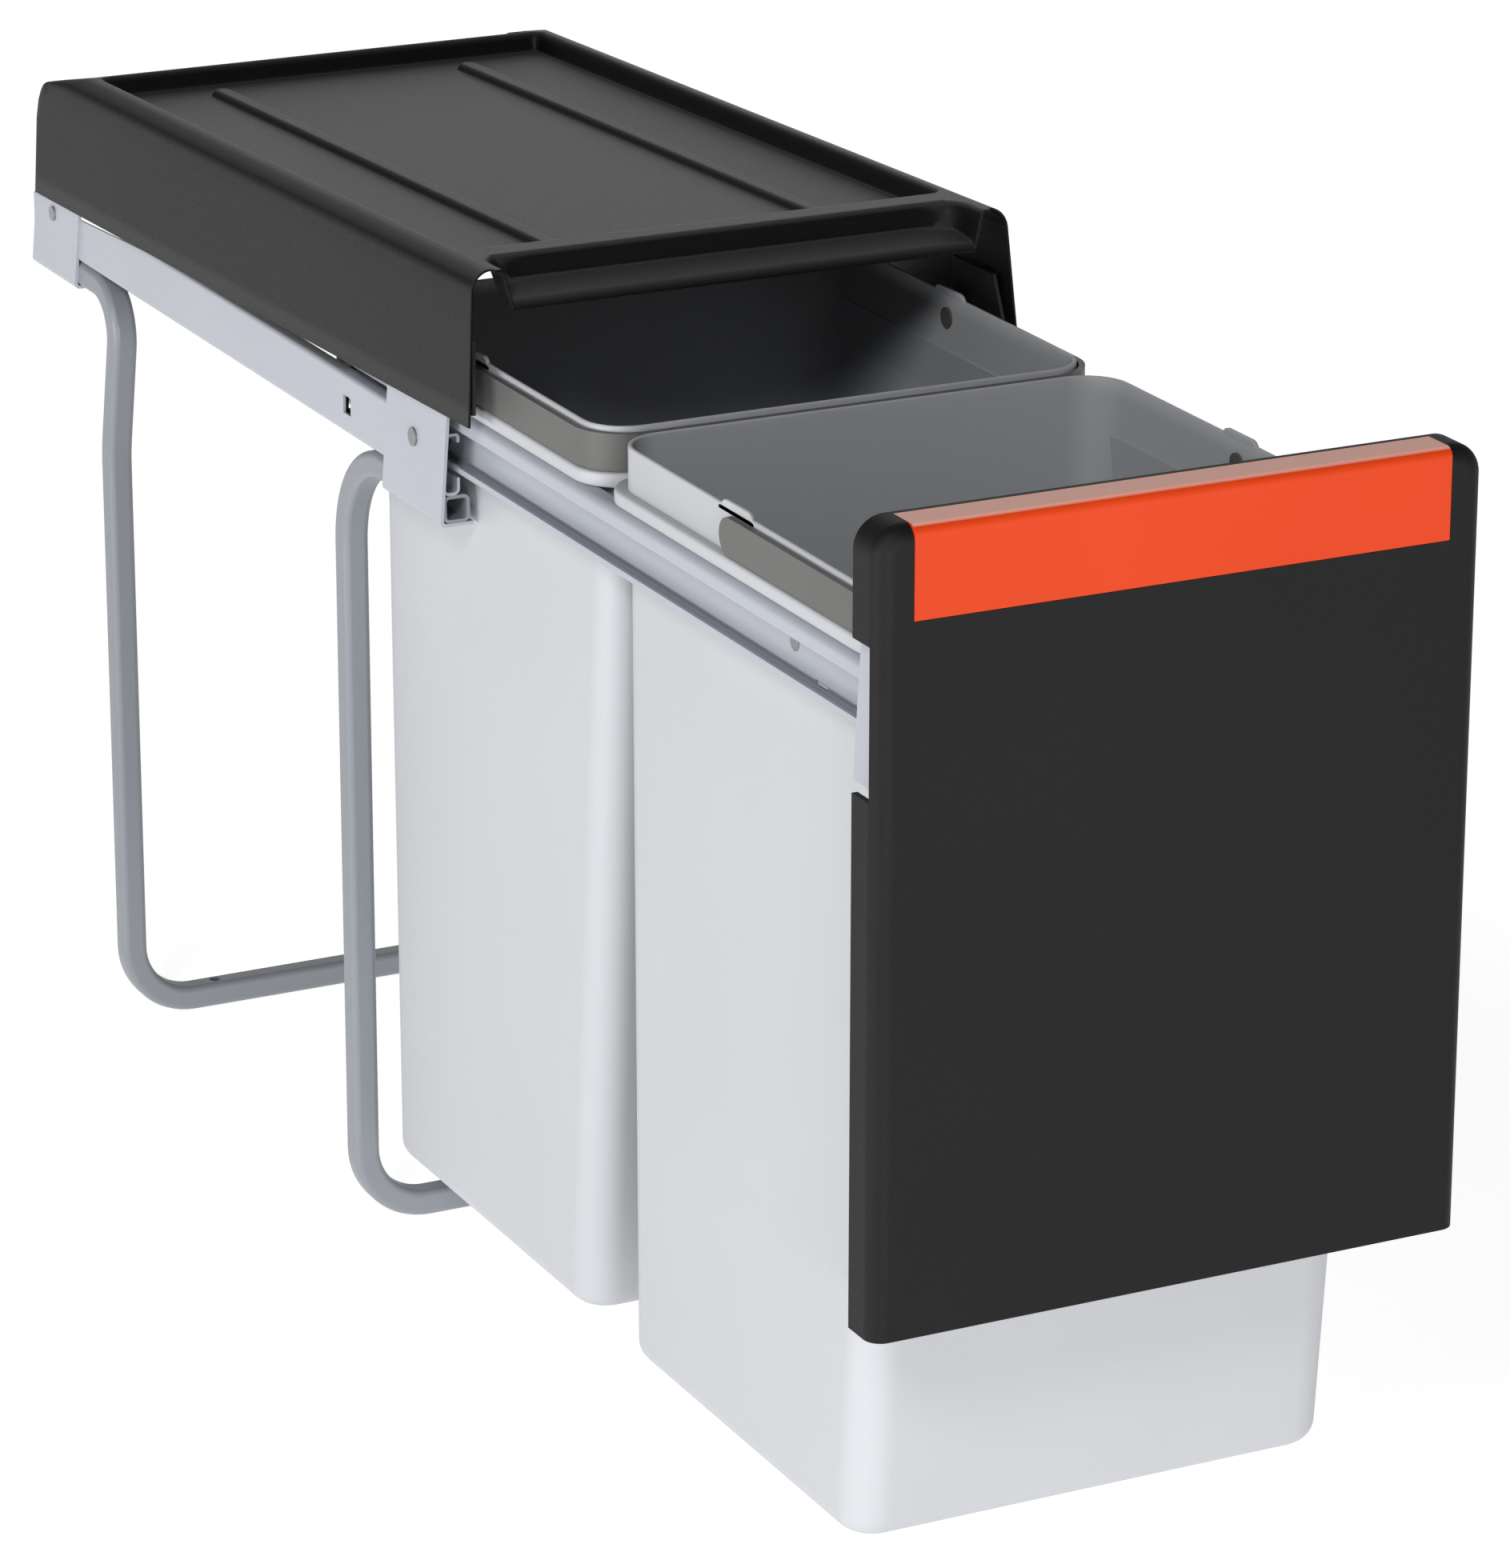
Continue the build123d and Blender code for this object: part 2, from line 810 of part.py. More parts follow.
keep(panel.part, "front_panel")

# Brackets between the panel and the carriers


def panel_bracket(side):
    """Plate on the panel's bosses with a flange reaching into the panel."""
    out = frame_half - panel_bracket_inset
    foot = bracket_foot
    top = foot + panel_bracket_height
    with BuildPart() as plate:
        with BuildSketch(across(carrier_front)):
            with Locations((side * (out - panel_bracket_width / 2), notch_middle)):
                Rectangle(panel_bracket_width, panel_bracket_height)
            with Locations((side * boss_x, screw_middle)):
                with GridLocations(0, boss_spacing, 1, 2):
                    Circle(screw_d / 2, mode=Mode.SUBTRACT)
        extrude(amount=panel_bracket_gauge)
        with BuildSketch(beside(side * (out - panel_bracket_gauge))):
            with BuildLine():
                Polyline(
                    (panel_back - panel_bracket_nose, foot),
                    (panel_back + panel_bracket_foot_tail, foot),
                    (panel_back + panel_bracket_tail, top),
                    (panel_back - panel_bracket_nose, top),
                    close=True,
                )
            make_face()
        extrude(amount=side * panel_bracket_gauge)
    return plate.part


for name, side in sides.items():
    keep(panel_bracket(side), f"panel_bracket_{name}")

# Waste bins


def tub(y, inset):
    """Tapering body of a bin, or the space inside its walls."""
    with BuildPart() as body:
        with BuildSketch(level(y, ridge_top)):
            RectangleRounded(
                body_top_width - 2 * inset,
                body_top_length - 2 * inset,
                body_corner_r - inset,
            )
        with BuildSketch(level(y + body_base_shift, ridge_top - body_height + inset)):
            RectangleRounded(
                body_top_width - 2 * body_side_draft - 2 * inset,
                body_top_length - body_length_draft - 2 * inset,
                body_corner_r - inset,
            )
        loft(ruled=True)
        fillet(body.faces().sort_by(Axis.Z)[0].edges(), body_base_r - inset)
    return body.part


def waste_bin(y):
    """Thin moulded bin with a shoulder that rests on the carriers."""
    outside = tub(y, 0)
    inside = tub(y, bin_wall)
    collar_half = collar_width / 2
    pivot_y = y + pivot_shift
    with BuildPart() as shell:
        add(outside)
        with BuildSketch(level(y, ridge_top)):
            RectangleRounded(shoulder_width, shoulder_length, shoulder_corner_r)
        extrude(amount=shoulder_height)
        with BuildSketch(level(y, ridge_top)):
            RectangleRounded(collar_width, collar_length, collar_corner_r)
        extrude(amount=rim_top - ridge_top)
        with BuildSketch(beside(-collar_half)) as ear:
            with Locations((pivot_y, shoulder_top)):
                ear_top = collar_height + ear_rise
                Rectangle(ear_width, ear_top, align=(Align.CENTER, Align.MIN))
            fillet(ear.vertices().group_by(Axis.Y)[-1], ear_corner_r)
        extrude(amount=collar_width)
        add(inside, mode=Mode.SUBTRACT)
        with BuildSketch(level(y, ridge_top)):
            RectangleRounded(
                body_top_width - 2 * bin_wall,
                body_top_length - 2 * bin_wall,
                body_corner_r - bin_wall,
            )
        extrude(amount=bin_wall, mode=Mode.SUBTRACT)
        with BuildSketch(level(y, ridge_top + bin_wall)):
            RectangleRounded(
                collar_width - 2 * bin_wall,
                collar_length - 2 * bin_wall,
                collar_corner_r - bin_wall,
            )
        extrude(amount=2 * collar_height, mode=Mode.SUBTRACT)
        with BuildSketch(beside(0)):
            with Locations((pivot_y, pivot_z)):
                Circle(pivot_d / 2 + pin_play)
        extrude(amount=frame_width, both=True, mode=Mode.SUBTRACT)
    return shell.part


keep(waste_bin(bin_front_y), "front_bin")
keep(waste_bin(bin_rear_y), "rear_bin")

# Swinging handles


def bail(y):
    """Band round the front of a bin's collar with snap pins in its ears."""
    half = collar_width / 2 + bail_side_gap + bail_gauge / 2
    front = y - collar_length / 2 - bail_side_gap - bail_gauge / 2
    pivot_y = y + pivot_shift
    end_r = bail_height / 2
    band_in = half - bail_gauge / 2
    wall_in = collar_width / 2 - bin_wall
    head_face = wall_in - seat_gap - pivot_head
    corner = collar_corner_r + bail_side_gap + bail_gauge / 2
    with BuildPart() as band:
        with BuildSketch(level(0, pivot_z - end_r)):
            with BuildLine():
                FilletPolyline(
                    (-half, pivot_y + end_r),
                    (-half, front),
                    (half, front),
                    (half, pivot_y + end_r),
                    radius=corner,
                )
            trace(line_width=bail_gauge)
        extrude(amount=bail_height)
        with BuildSketch(beside(0)):
            with Locations((pivot_y, pivot_z)):
                Circle(end_r)
                Rectangle(collar_length, bail_height, align=(Align.MAX, Align.CENTER))
        extrude(amount=half + bail_gauge, both=True, mode=Mode.INTERSECT)
        for side in sides.values():
            with BuildSketch(axle_plane(side, pivot_y, pivot_z).offset(head_face)):
                Circle(pivot_d / 2)
            extrude(amount=band_in - head_face)
            with BuildSketch(axle_plane(side, pivot_y, pivot_z).offset(head_face)):
                Circle(pivot_head_d / 2)
            extrude(amount=pivot_head)
    return band.part


keep(bail(bin_front_y), "front_bin_bail")
keep(bail(bin_rear_y), "rear_bin_bail")

# Rivets and screws


def fastener(plane, length, radius, head_r, head, far_head=0):
    """Shank behind its head, with a second head where one is asked for."""
    with BuildPart() as pin:
        with BuildSketch(plane):
            Circle(head_r)
        extrude(amount=head)
        with BuildSketch(plane):
            Circle(radius)
        extrude(amount=-length)
        if far_head:
            with BuildSketch(plane.offset(-length)):
                Circle(head_r)
            extrude(amount=-far_head)
    return pin.part


def fasteners(name, planes, *sizes):
    """Write one kind of fastener, once for each plane."""
    keep(Compound(children=[fastener(plane, *sizes) for plane in planes]), name)


rivet_r = rivet_d / 2
rivet_head_r = rivet_head_d / 2
screw_r = screw_d / 2
screw_head_r = screw_head_d / 2
fasteners(
    "rail_rivets",
    [axle_plane(side, rail_rivet_y, rail_rivet_z).offset(bracket_out) for side in sides.values()],
    bracket_gauge + rail_gauge,
    rivet_r,
    rivet_head_r,
    rivet_head,
)
fasteners(
    "tie_rivets",
    [axle_plane(side, tie_hole_y, tie_middle).offset(web_in + rail_gauge) for side in sides.values()],
    rail_gauge + tie_gauge,
    rivet_r,
    rivet_head_r,
    rivet_head,
    rivet_head,
)
fasteners(
    "carrier_rivets",
    [
        axle_plane(side, carrier_rivet_y, carrier_rivet_z).offset(web_in + rail_gauge)
        for side in sides.values()
    ],
    rail_gauge,
    rivet_r,
    rivet_head_r,
    carrier_rivet_head,
    rivet_head,
)
screw_grid = [
    (x, screw_middle + rise)
    for x in (-boss_x, boss_x)
    for rise in (-boss_spacing / 2, boss_spacing / 2)
]
fasteners(
    "panel_screws",
    [Plane(origin=(x, carrier_front, z), x_dir=(1, 0, 0), z_dir=(0, 1, 0)) for x, z in screw_grid],
    panel_screw_reach,
    boss_hole_d / 2,
    screw_head_r,
    screw_head,
)
fasteners(
    "cover_screws",
    [cover_screw_plane(side) for side in sides.values()],
    cover_gauge + seat_gap + bracket_gauge,
    screw_r,
    screw_head_r,
    rivet_head,
)
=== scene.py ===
"""Pull-out bin frame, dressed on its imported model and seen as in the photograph.

Lengths are metres in the part's own frame: X right, Y into the cabinet, Z up.
"""

import json
from math import cos, hypot, pi, radians, sin, tan

import bmesh
import bpy
from mathutils import Matrix, Vector


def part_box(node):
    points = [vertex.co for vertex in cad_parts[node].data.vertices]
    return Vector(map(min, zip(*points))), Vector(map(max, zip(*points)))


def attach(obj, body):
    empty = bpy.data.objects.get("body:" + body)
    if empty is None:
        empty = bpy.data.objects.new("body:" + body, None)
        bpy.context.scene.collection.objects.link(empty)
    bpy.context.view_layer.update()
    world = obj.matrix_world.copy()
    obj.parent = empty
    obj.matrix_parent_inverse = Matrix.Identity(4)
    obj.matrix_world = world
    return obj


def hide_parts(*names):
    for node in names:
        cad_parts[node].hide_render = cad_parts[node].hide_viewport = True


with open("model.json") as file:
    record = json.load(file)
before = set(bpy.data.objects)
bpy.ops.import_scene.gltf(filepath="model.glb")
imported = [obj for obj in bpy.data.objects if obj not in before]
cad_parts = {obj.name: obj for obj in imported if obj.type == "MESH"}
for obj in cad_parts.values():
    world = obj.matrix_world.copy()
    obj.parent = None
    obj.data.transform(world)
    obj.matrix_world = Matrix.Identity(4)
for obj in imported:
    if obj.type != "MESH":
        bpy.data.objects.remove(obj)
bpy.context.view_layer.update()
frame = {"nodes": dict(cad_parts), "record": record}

mm = 0.001
sides = (("left", -1), ("right", 1))


# Node helpers


def new_material(name):
    """Node material with its shader, ready for linking."""
    material = bpy.data.materials.new(name)
    material.use_nodes = True
    nodes = material.node_tree.nodes
    return material, nodes, material.node_tree.links, nodes["Principled BSDF"]


def noise(nodes, links, scale, roughness=0.5, detail=3):
    """Grey noise in the part's own coordinates; scale is features per metre."""
    place = nodes.new("ShaderNodeTexCoord")
    texture = nodes.new("ShaderNodeTexNoise")
    texture.inputs["Scale"].default_value = scale
    texture.inputs["Detail"].default_value = detail
    texture.inputs["Roughness"].default_value = roughness
    links.new(place.outputs["Object"], texture.inputs["Vector"])
    return texture.outputs["Fac"]


def ramp(nodes, links, source, start, end, low=0, high=1):
    """Value that goes from low to high as the source goes from start to end."""
    mapping = nodes.new("ShaderNodeMapRange")
    mapping.inputs["From Min"].default_value = start
    mapping.inputs["From Max"].default_value = end
    mapping.inputs["To Min"].default_value = low
    mapping.inputs["To Max"].default_value = high
    links.new(source, mapping.inputs["Value"])
    return mapping.outputs["Result"]


def colour_mix(nodes, links, share):
    """Colour blend that goes from A to B with the share."""
    mix = nodes.new("ShaderNodeMix")
    mix.data_type = "RGBA"
    links.new(share, mix.inputs["Factor"])
    return mix


def finish_material(name, dark, light, rough, grain, relief, specular=0.5):
    """Surface with slow colour clouds, a fine grain and uneven gloss."""
    clouds_per_metre = 6
    grain_roughness = 0.6
    grain_depth = 0.2 * mm
    usual_grey = (0.3, 0.7)
    material, nodes, links, shader = new_material(name)
    clouds = noise(nodes, links, clouds_per_metre)
    fine = noise(nodes, links, grain, grain_roughness)
    mix = colour_mix(nodes, links, ramp(nodes, links, clouds, *usual_grey))
    mix.inputs["A"].default_value = (*dark, 1)
    mix.inputs["B"].default_value = (*light, 1)
    links.new(mix.outputs["Result"], shader.inputs["Base Color"])
    links.new(ramp(nodes, links, fine, *usual_grey, *rough), shader.inputs["Roughness"])
    bump = nodes.new("ShaderNodeBump")
    bump.inputs["Strength"].default_value = relief
    bump.inputs["Distance"].default_value = grain_depth
    links.new(fine, bump.inputs["Height"])
    links.new(bump.outputs["Normal"], shader.inputs["Normal"])
    shader.inputs["Specular IOR Level"].default_value = specular
    return material


def fade_by_z(material, source, other, start, end):
    """Blend a surface to another colour as the Z part of a vector goes from start to end."""
    nodes = material.node_tree.nodes
    links = material.node_tree.links
    colour = nodes["Principled BSDF"].inputs["Base Color"]
    parts = nodes.new("ShaderNodeSeparateXYZ")
    links.new(source, parts.inputs["Vector"])
    mix = colour_mix(nodes, links, ramp(nodes, links, parts.outputs["Z"], start, end))
    links.new(colour.links[0].from_socket, mix.inputs["A"])
    mix.inputs["B"].default_value = (*other, 1)
    links.new(mix.outputs["Result"], colour)


def paint_sheen_upward(material, pale, start, end):
    """Painted sheen: blend a surface to a paler colour where it faces up, in place of the reflection on
    its upward faces.
    """
    facing = material.node_tree.nodes.new("ShaderNodeNewGeometry")
    fade_by_z(material, facing.outputs["Normal"], pale, start, end)


def shade_above(material, dark, start, end):
    """Painted shade: blend a surface to a dark colour from one height to another."""
    place = material.node_tree.nodes.new("ShaderNodeTexCoord")
    fade_by_z(material, place.outputs["Object"], dark, start, end)


# Mesh helpers


def rounded_ring(width, length, radius, middle_y, z, steps=8):
    """Level rounded rectangle as points, counted round from its right side."""
    ring = []
    for turn, (way_x, way_y) in enumerate([(1, 1), (-1, 1), (-1, -1), (1, -1)]):
        corner_x = way_x * (width / 2 - radius)
        corner_y = middle_y + way_y * (length / 2 - radius)
        for step in range(steps + 1):
            angle = (turn + step / steps) * pi / 2
            ring.append(Vector((corner_x + radius * cos(angle), corner_y + radius * sin(angle), z)))
    return ring


def mesh_of(name, shape):
    """Mesh of a finished shape in mesh code."""
    mesh = bpy.data.meshes.new(name)
    shape.to_mesh(mesh)
    shape.free()
    return mesh


def add_object(name, mesh, material, smooth_angle=35):
    """Object of a finished mesh, smooth but for its sharp edges."""
    mesh.shade_smooth()
    mesh.set_sharp_from_angle(angle=radians(smooth_angle))
    mesh.materials.append(material)
    piece = bpy.data.objects.new(name, mesh)
    bpy.context.collection.objects.link(piece)
    return piece


def skin(name, rings, material, smooth_angle):
    """Closed skin over rings of equal count, with a flat face at each end."""
    shell = bmesh.new()
    loops = [[shell.verts.new(point) for point in ring] for ring in rings]
    for low, high in zip(loops, loops[1:]):
        for here in range(len(low)):
            after = (here + 1) % len(low)
            shell.faces.new((low[here], low[after], high[after], high[here]))
    shell.faces.new(reversed(loops[0]))
    shell.faces.new(loops[-1])
    bmesh.ops.recalc_face_normals(shell, faces=shell.faces)
    return add_object(name, mesh_of(name, shell), material, smooth_angle)


def grid_sheet(name, grids, material, gauge, smooth_angle):
    """Sheet over grids of points, welded, with its thickness on the inner side."""
    weld = 0.02 * mm
    sheet = bmesh.new()
    for rows in grids:
        lines = [[sheet.verts.new(point) for point in row] for row in rows]
        for near, far in zip(lines, lines[1:]):
            for here in range(len(near) - 1):
                sheet.faces.new((near[here], near[here + 1], far[here + 1], far[here]))
    bmesh.ops.remove_doubles(sheet, verts=sheet.verts, dist=weld)
    bmesh.ops.dissolve_degenerate(sheet, edges=sheet.edges, dist=weld)
    piece = add_object(name, mesh_of(name, sheet), material, smooth_angle)
    thickness = piece.modifiers.new("gauge", "SOLIDIFY")
    thickness.thickness = gauge
    thickness.offset = -1
    return piece


def prism(name, outline, near, far, material, soften):
    """Plate between two X places, from its outline in Y and Z."""
    plate = bmesh.new()
    face = plate.faces.new([plate.verts.new((near, y, z)) for y, z in outline])
    grown = bmesh.ops.extrude_face_region(plate, geom=[face])["geom"]
    moved = [part for part in grown if isinstance(part, bmesh.types.BMVert)]
    bmesh.ops.translate(plate, verts=moved, vec=(far - near, 0, 0))
    bmesh.ops.recalc_face_normals(plate, faces=plate.faces)
    piece = add_object(name, mesh_of(name, plate), material)
    rounding = piece.modifiers.new("edges", "BEVEL")
    rounding.width = soften
    rounding.segments = 2
    return piece


def smooth_step(value):
    """Ease from 0 to 1 as the value does."""
    value = min(max(value, 0), 1)
    return value * value * (3 - 2 * value)


def inside_round(x, y, half_x, low_y, high_y, radius):
    """Depth of a point inside a rounded rectangle, negative outside."""
    off_x = abs(x) - (half_x - radius)
    off_y = abs(y - (low_y + high_y) / 2) - ((high_y - low_y) / 2 - radius)
    outside = hypot(max(off_x, 0), max(off_y, 0))
    return radius - outside - min(max(off_x, off_y), 0)


def spaced(start, *stops):
    """Places along a line from its start through stops, each an end and the pitch up to it."""
    places = [start]
    for end, pitch in stops:
        start = places[-1]
        count = max(round((end - start) / pitch), 1)
        places += [start + (end - start) * (step + 1) / count for step in range(count)]
    return places


# Materials

# Height above which the brackets' tabs take painted shade, standing in for the cover's shadow on them.
behind_cover = 408 * mm
shade_run = 1 * mm

hoop_paint = finish_material(
    "hoop_paint",
    dark=(0.180, 0.194, 0.214),
    light=(0.200, 0.214, 0.234),
    rough=(0.34, 0.46),
    grain=900,
    relief=0.25,
)
rail_paint, bracket_paint_painted_shade = [
    finish_material(
        name,
        dark=(0.325, 0.340, 0.380),
        light=(0.355, 0.370, 0.410),
        rough=(0.32, 0.44),
        grain=900,
        relief=0.2,
    )
    for name in ("rail_paint", "bracket_paint_painted_shade")
]
# Painted shade: the brackets' paint turns near black above this height, where the cover's shadow falls
# on the tabs.
shade_above(
    bracket_paint_painted_shade,
    dark=(0.012, 0.012, 0.012),
    start=behind_cover - shade_run,
    end=behind_cover + shade_run,
)
cover_paint = finish_material(
    "cover_paint",
    dark=(0.0040, 0.0040, 0.0037),
    light=(0.0062, 0.0062, 0.0058),
    rough=(0.38, 0.50),
    grain=1300,
    relief=0.6,
    specular=0.16,
)
# Painted sheen: the cover's upward faces are paler, standing in for the lights' grazing reflection on
# them.
paint_sheen_upward(cover_paint, pale=(0.050, 0.050, 0.048), start=0.5, end=0.9)
panel_plastic = finish_material(
    "panel_plastic",
    dark=(0.0050, 0.0045, 0.0047),
    light=(0.0064, 0.0057, 0.0060),
    rough=(0.48, 0.62),
    grain=2200,
    relief=0.6,
    specular=0.18,
)
strip_plastic = finish_material(
    "strip_plastic",
    dark=(0.54, 0.040, 0.004),
    light=(0.58, 0.046, 0.006),
    rough=(0.34, 0.42),
    grain=700,
    relief=0.1,
    specular=0.22,
)
# Painted sheen: the orange strip's top is pale, standing in for its grazing reflection of the lights.
paint_sheen_upward(strip_plastic, pale=(0.94, 0.46, 0.36), start=0.75, end=0.95)
bin_plastic = finish_material(
    "bin_plastic",
    dark=(0.405, 0.415, 0.435),
    light=(0.430, 0.440, 0.460),
    rough=(0.44, 0.56),
    grain=1100,
    relief=0.2,
)
bail_plastic = finish_material(
    "bail_plastic",
    dark=(0.094, 0.094, 0.091),
    light=(0.112, 0.112, 0.109),
    rough=(0.42, 0.54),
    grain=1100,
    relief=0.2,
    specular=0.3,
)
roller_plastic = finish_material(
    "roller_plastic",
    dark=(0.02, 0.02, 0.02),
    light=(0.03, 0.03, 0.03),
    rough=(0.35, 0.5),
    grain=900,
    relief=0.2,
)
bright_steel = finish_material(
    "bright_steel",
    dark=(0.26, 0.265, 0.275),
    light=(0.34, 0.345, 0.355),
    rough=(0.3, 0.45),
    grain=1500,
    relief=0.2,
)
bright_steel.node_tree.nodes["Principled BSDF"].inputs["Metallic"].default_value = 1


def dress_nodes():
    """Each node's own finish, with painted shade darkening the brackets' tabs behind the cover."""
    by_slot = {
        "hoop_paint": hoop_paint,
        "rail_paint": rail_paint,
        "cover_paint": cover_paint,
        "panel_plastic": panel_plastic,
        "strip_plastic": strip_plastic,
        "bin_plastic": bin_plastic,
        "bail_plastic": bail_plastic,
        "roller_plastic": roller_plastic,
        "bright_steel": bright_steel,
    }
    # The brackets take the rail paint with painted shade on their tabs behind the cover.
    by_node = {f"{end}_bracket_{side[0]}": bracket_paint_painted_shade for end in ("front", "rear") for side in sides}
    for subpart in frame["record"]["subparts"]:
        name = subpart["node"]
        for slot in frame["nodes"][name].material_slots:
            slot.material = by_node.get(name, by_slot[subpart["material_slot"]])


dress_nodes()


# Bins


def collar_width(width):
    """Outer width of a bin's collar from the whole bin's."""
    collar_side_gap = 4.5 * mm
    return width - 2 * collar_side_gap


def bin_moulding(node, middle, width, length, base, rim):
    """Bin body with foot, shoulder, collar and rim as one skin, out and back in."""
    wall = 1.8 * mm
    soft = 0.8 * mm
    foot_r = 9 * mm
    body_r = 15 * mm
    shoulder_r = 20 * mm
    collar_r = 19 * mm
    body_side_gap = 8.3 * mm
    body_end_gap = 2.5 * mm
    collar_end_gap = 4.2 * mm
    collar_height = 17.9 * mm
    shoulder_height = 6 * mm
    inner_blend = 60 * mm
    front_draft = 31 * mm
    rear_draft = 0.5 * mm
    side_draft = 0.8 * mm
    foot_round_spare = 1 * mm
    lower_edge = [(0, 1), (0.4, 0.2), (1, 0)]
    upper_edge = [(-1.5, 0), (-0.5, 0.4), (0, 1.5)]
    collar_root = [(0, -0.3), (0.4, 0)]
    rim_edge = [(-1, 0), (-0.25, 0.3), (0, 1)]
    foot_steps = 6
    smooth_angle = 50
    ledge = rim - collar_height
    under = ledge - shoulder_height
    body_width = width - 2 * body_side_gap
    body_length = length - 2 * body_end_gap
    shoulder = (width, length, shoulder_r)
    collar = (collar_width(width), length - 2 * collar_end_gap, collar_r)

    def body_ring(z, inset, radius):
        share = (under - z) / (under - base)
        shift = (front_draft - rear_draft) / 2 * share
        ring_width = body_width - 2 * side_draft * share - 2 * inset
        ring_length = body_length - (front_draft + rear_draft) * share - 2 * inset
        return rounded_ring(ring_width, ring_length, radius, middle + shift, z)

    def foot_ring(turn, gap):
        """Ring of the rounded foot, with a gap to the outer skin."""
        inset = gap + (foot_r - gap) * (1 - sin(turn))
        z = base + gap + (foot_r - gap) * (1 - cos(turn))
        return body_ring(z, inset, body_r - inset + foot_round_spare)

    def level_rings(start, outline, edge):
        """Rings round one outline, whose edge is rises and insets counted in edge radii."""
        outer_width, outer_length, radius = outline
        for rise, inset in edge:
            step = inset * soft
            z = start + rise * soft
            yield rounded_ring(outer_width - 2 * step, outer_length - 2 * step, radius - step, middle, z)

    turns = [step / foot_steps * pi / 2 for step in range(foot_steps + 1)]
    inner = wall / soft
    rings = [foot_ring(turn, 0) for turn in turns]
    rings.append(body_ring(under, 0, body_r))
    rings += level_rings(under, shoulder, lower_edge)
    rings += level_rings(ledge, shoulder, upper_edge)
    rings += level_rings(ledge, collar, collar_root)
    rings += level_rings(rim, collar, rim_edge)
    rings += level_rings(rim, collar, [(rise, inner - inset) for rise, inset in reversed(rim_edge)])
    rings.append(body_ring(under - inner_blend, wall, body_r - wall))
    rings += [foot_ring(turn, wall) for turn in reversed(turns)]
    piece = skin(node + "_moulding", rings, bin_plastic, smooth_angle)
    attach(piece, node)
    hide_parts(node)


def bin_ear(node, name, outer, inner, pivot_y, rim, rise):
    """Low ear on the rim, over a handle's pin."""
    half = 12.5 * mm
    root = 3 * mm
    rim_soft = 0.8 * mm
    edge_r = 0.5 * mm
    top = rim + rise
    low_bend = half + 1 * mm
    high_bend = half - 1.2 * mm
    high_bend_drop = 0.6 * mm
    flat_top = half - 3.2 * mm
    climb = [
        (half + root, rim - root),
        (half + root, rim - rim_soft),
        (low_bend, rim - rim_soft / 2),
        (high_bend, top - high_bend_drop),
        (flat_top, top),
    ]
    outline = [(pivot_y - y, z) for y, z in climb] + [(pivot_y + y, z) for y, z in reversed(climb)]
    ear = prism(f"{node}_ear_{name}", outline, inner, outer, bin_plastic, edge_r)
    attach(ear, node)


def waste_bin(node, bail_node):
    """Moulded bin with softened edges, in the place of its node."""
    low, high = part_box(node)
    bail_low, bail_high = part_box(bail_node)
    ear_rise = 2.3 * mm
    ear_gauge = 1.8 * mm
    foot_drop = 1 * mm
    width = high[0] - low[0]
    rim = high[2] - ear_rise
    bin_moulding(node, (low[1] + high[1]) / 2, width, high[1] - low[1], low[2] - foot_drop, rim)
    pivot_y = bail_high[1] - (bail_high[2] - bail_low[2]) / 2
    outer = collar_width(width) / 2
    for name, side in sides:
        bin_ear(node, name, side * outer, side * (outer - ear_gauge), pivot_y, rim, ear_rise)


waste_bin("front_bin", "front_bin_bail")
waste_bin("rear_bin", "rear_bin_bail")


# Cover


